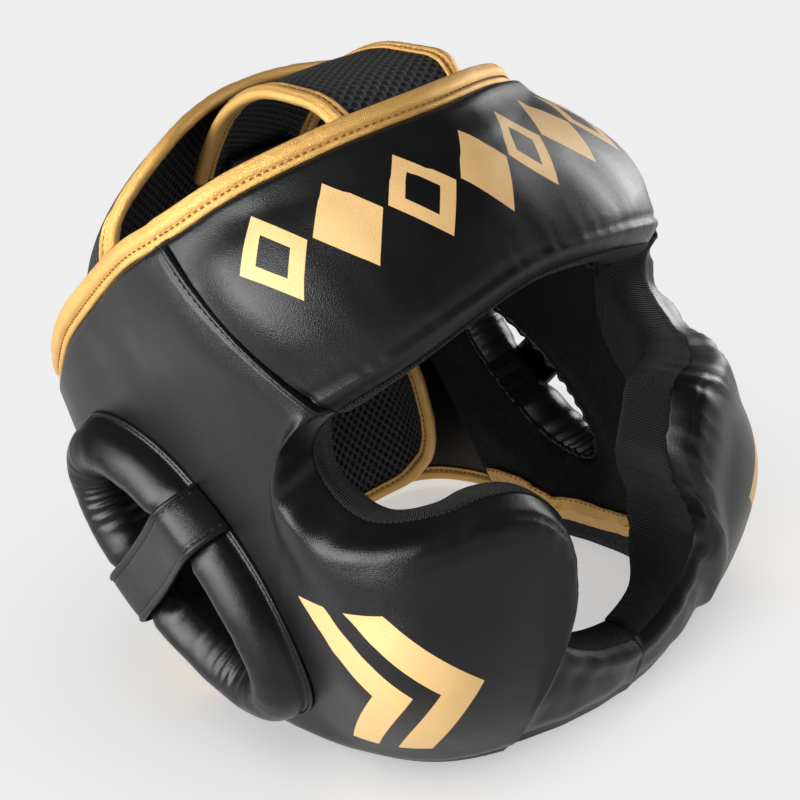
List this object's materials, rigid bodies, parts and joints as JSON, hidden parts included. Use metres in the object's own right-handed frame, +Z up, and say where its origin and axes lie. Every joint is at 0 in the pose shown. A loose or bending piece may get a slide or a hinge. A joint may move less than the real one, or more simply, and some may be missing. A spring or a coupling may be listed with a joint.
{
  "type": "padded sparring head guard",
  "caption": "Hollow padded leather sparring head guard with cheek pads, chin bar, ringed ear holes, mesh crown and rear panels and gold bound edges.",
  "frame": {"origin": "on the floor under the middle of the guard's box, the lower rim standing on z = 0", "axes": "+Z up, -Y out of the face opening, +X to the wearer's left"},
  "size_m": [0.2578, 0.2798, 0.2711],
  "materials": {
    "black_leather": "semi-gloss grained",
    "gold_tape": "metallic satin",
    "spacer_mesh": "matte open knit",
    "black_lining": "matte ribbed",
    "hook_loop": "matte pile"
  },
  "bodies": {
    "root": {"forehead_pad": "black_leather", "side_pad_right": "black_leather", "side_pad_left": "black_leather", "ear_ring_right": "black_leather", "ear_ring_left": "black_leather", "ear_strap_right": "black_leather", "ear_strap_left": "black_leather", "face_lining_right": "black_lining", "face_lining_left": "black_lining", "brow_lining": "black_lining", "rim_binding_right": "gold_tape", "rim_binding_left": "gold_tape", "top_binding": "gold_tape", "crown_panel": "spacer_mesh", "crown_binding_right": "gold_tape", "crown_binding_left": "gold_tape", "rear_panel": "spacer_mesh", "rear_binding": "gold_tape", "crown_tab": "black_leather", "closure_patch": "hook_loop", "wing_right": "spacer_mesh", "wing_left": "black_leather", "wing_binding_right": "gold_tape"}
  },
  "joints": []
}
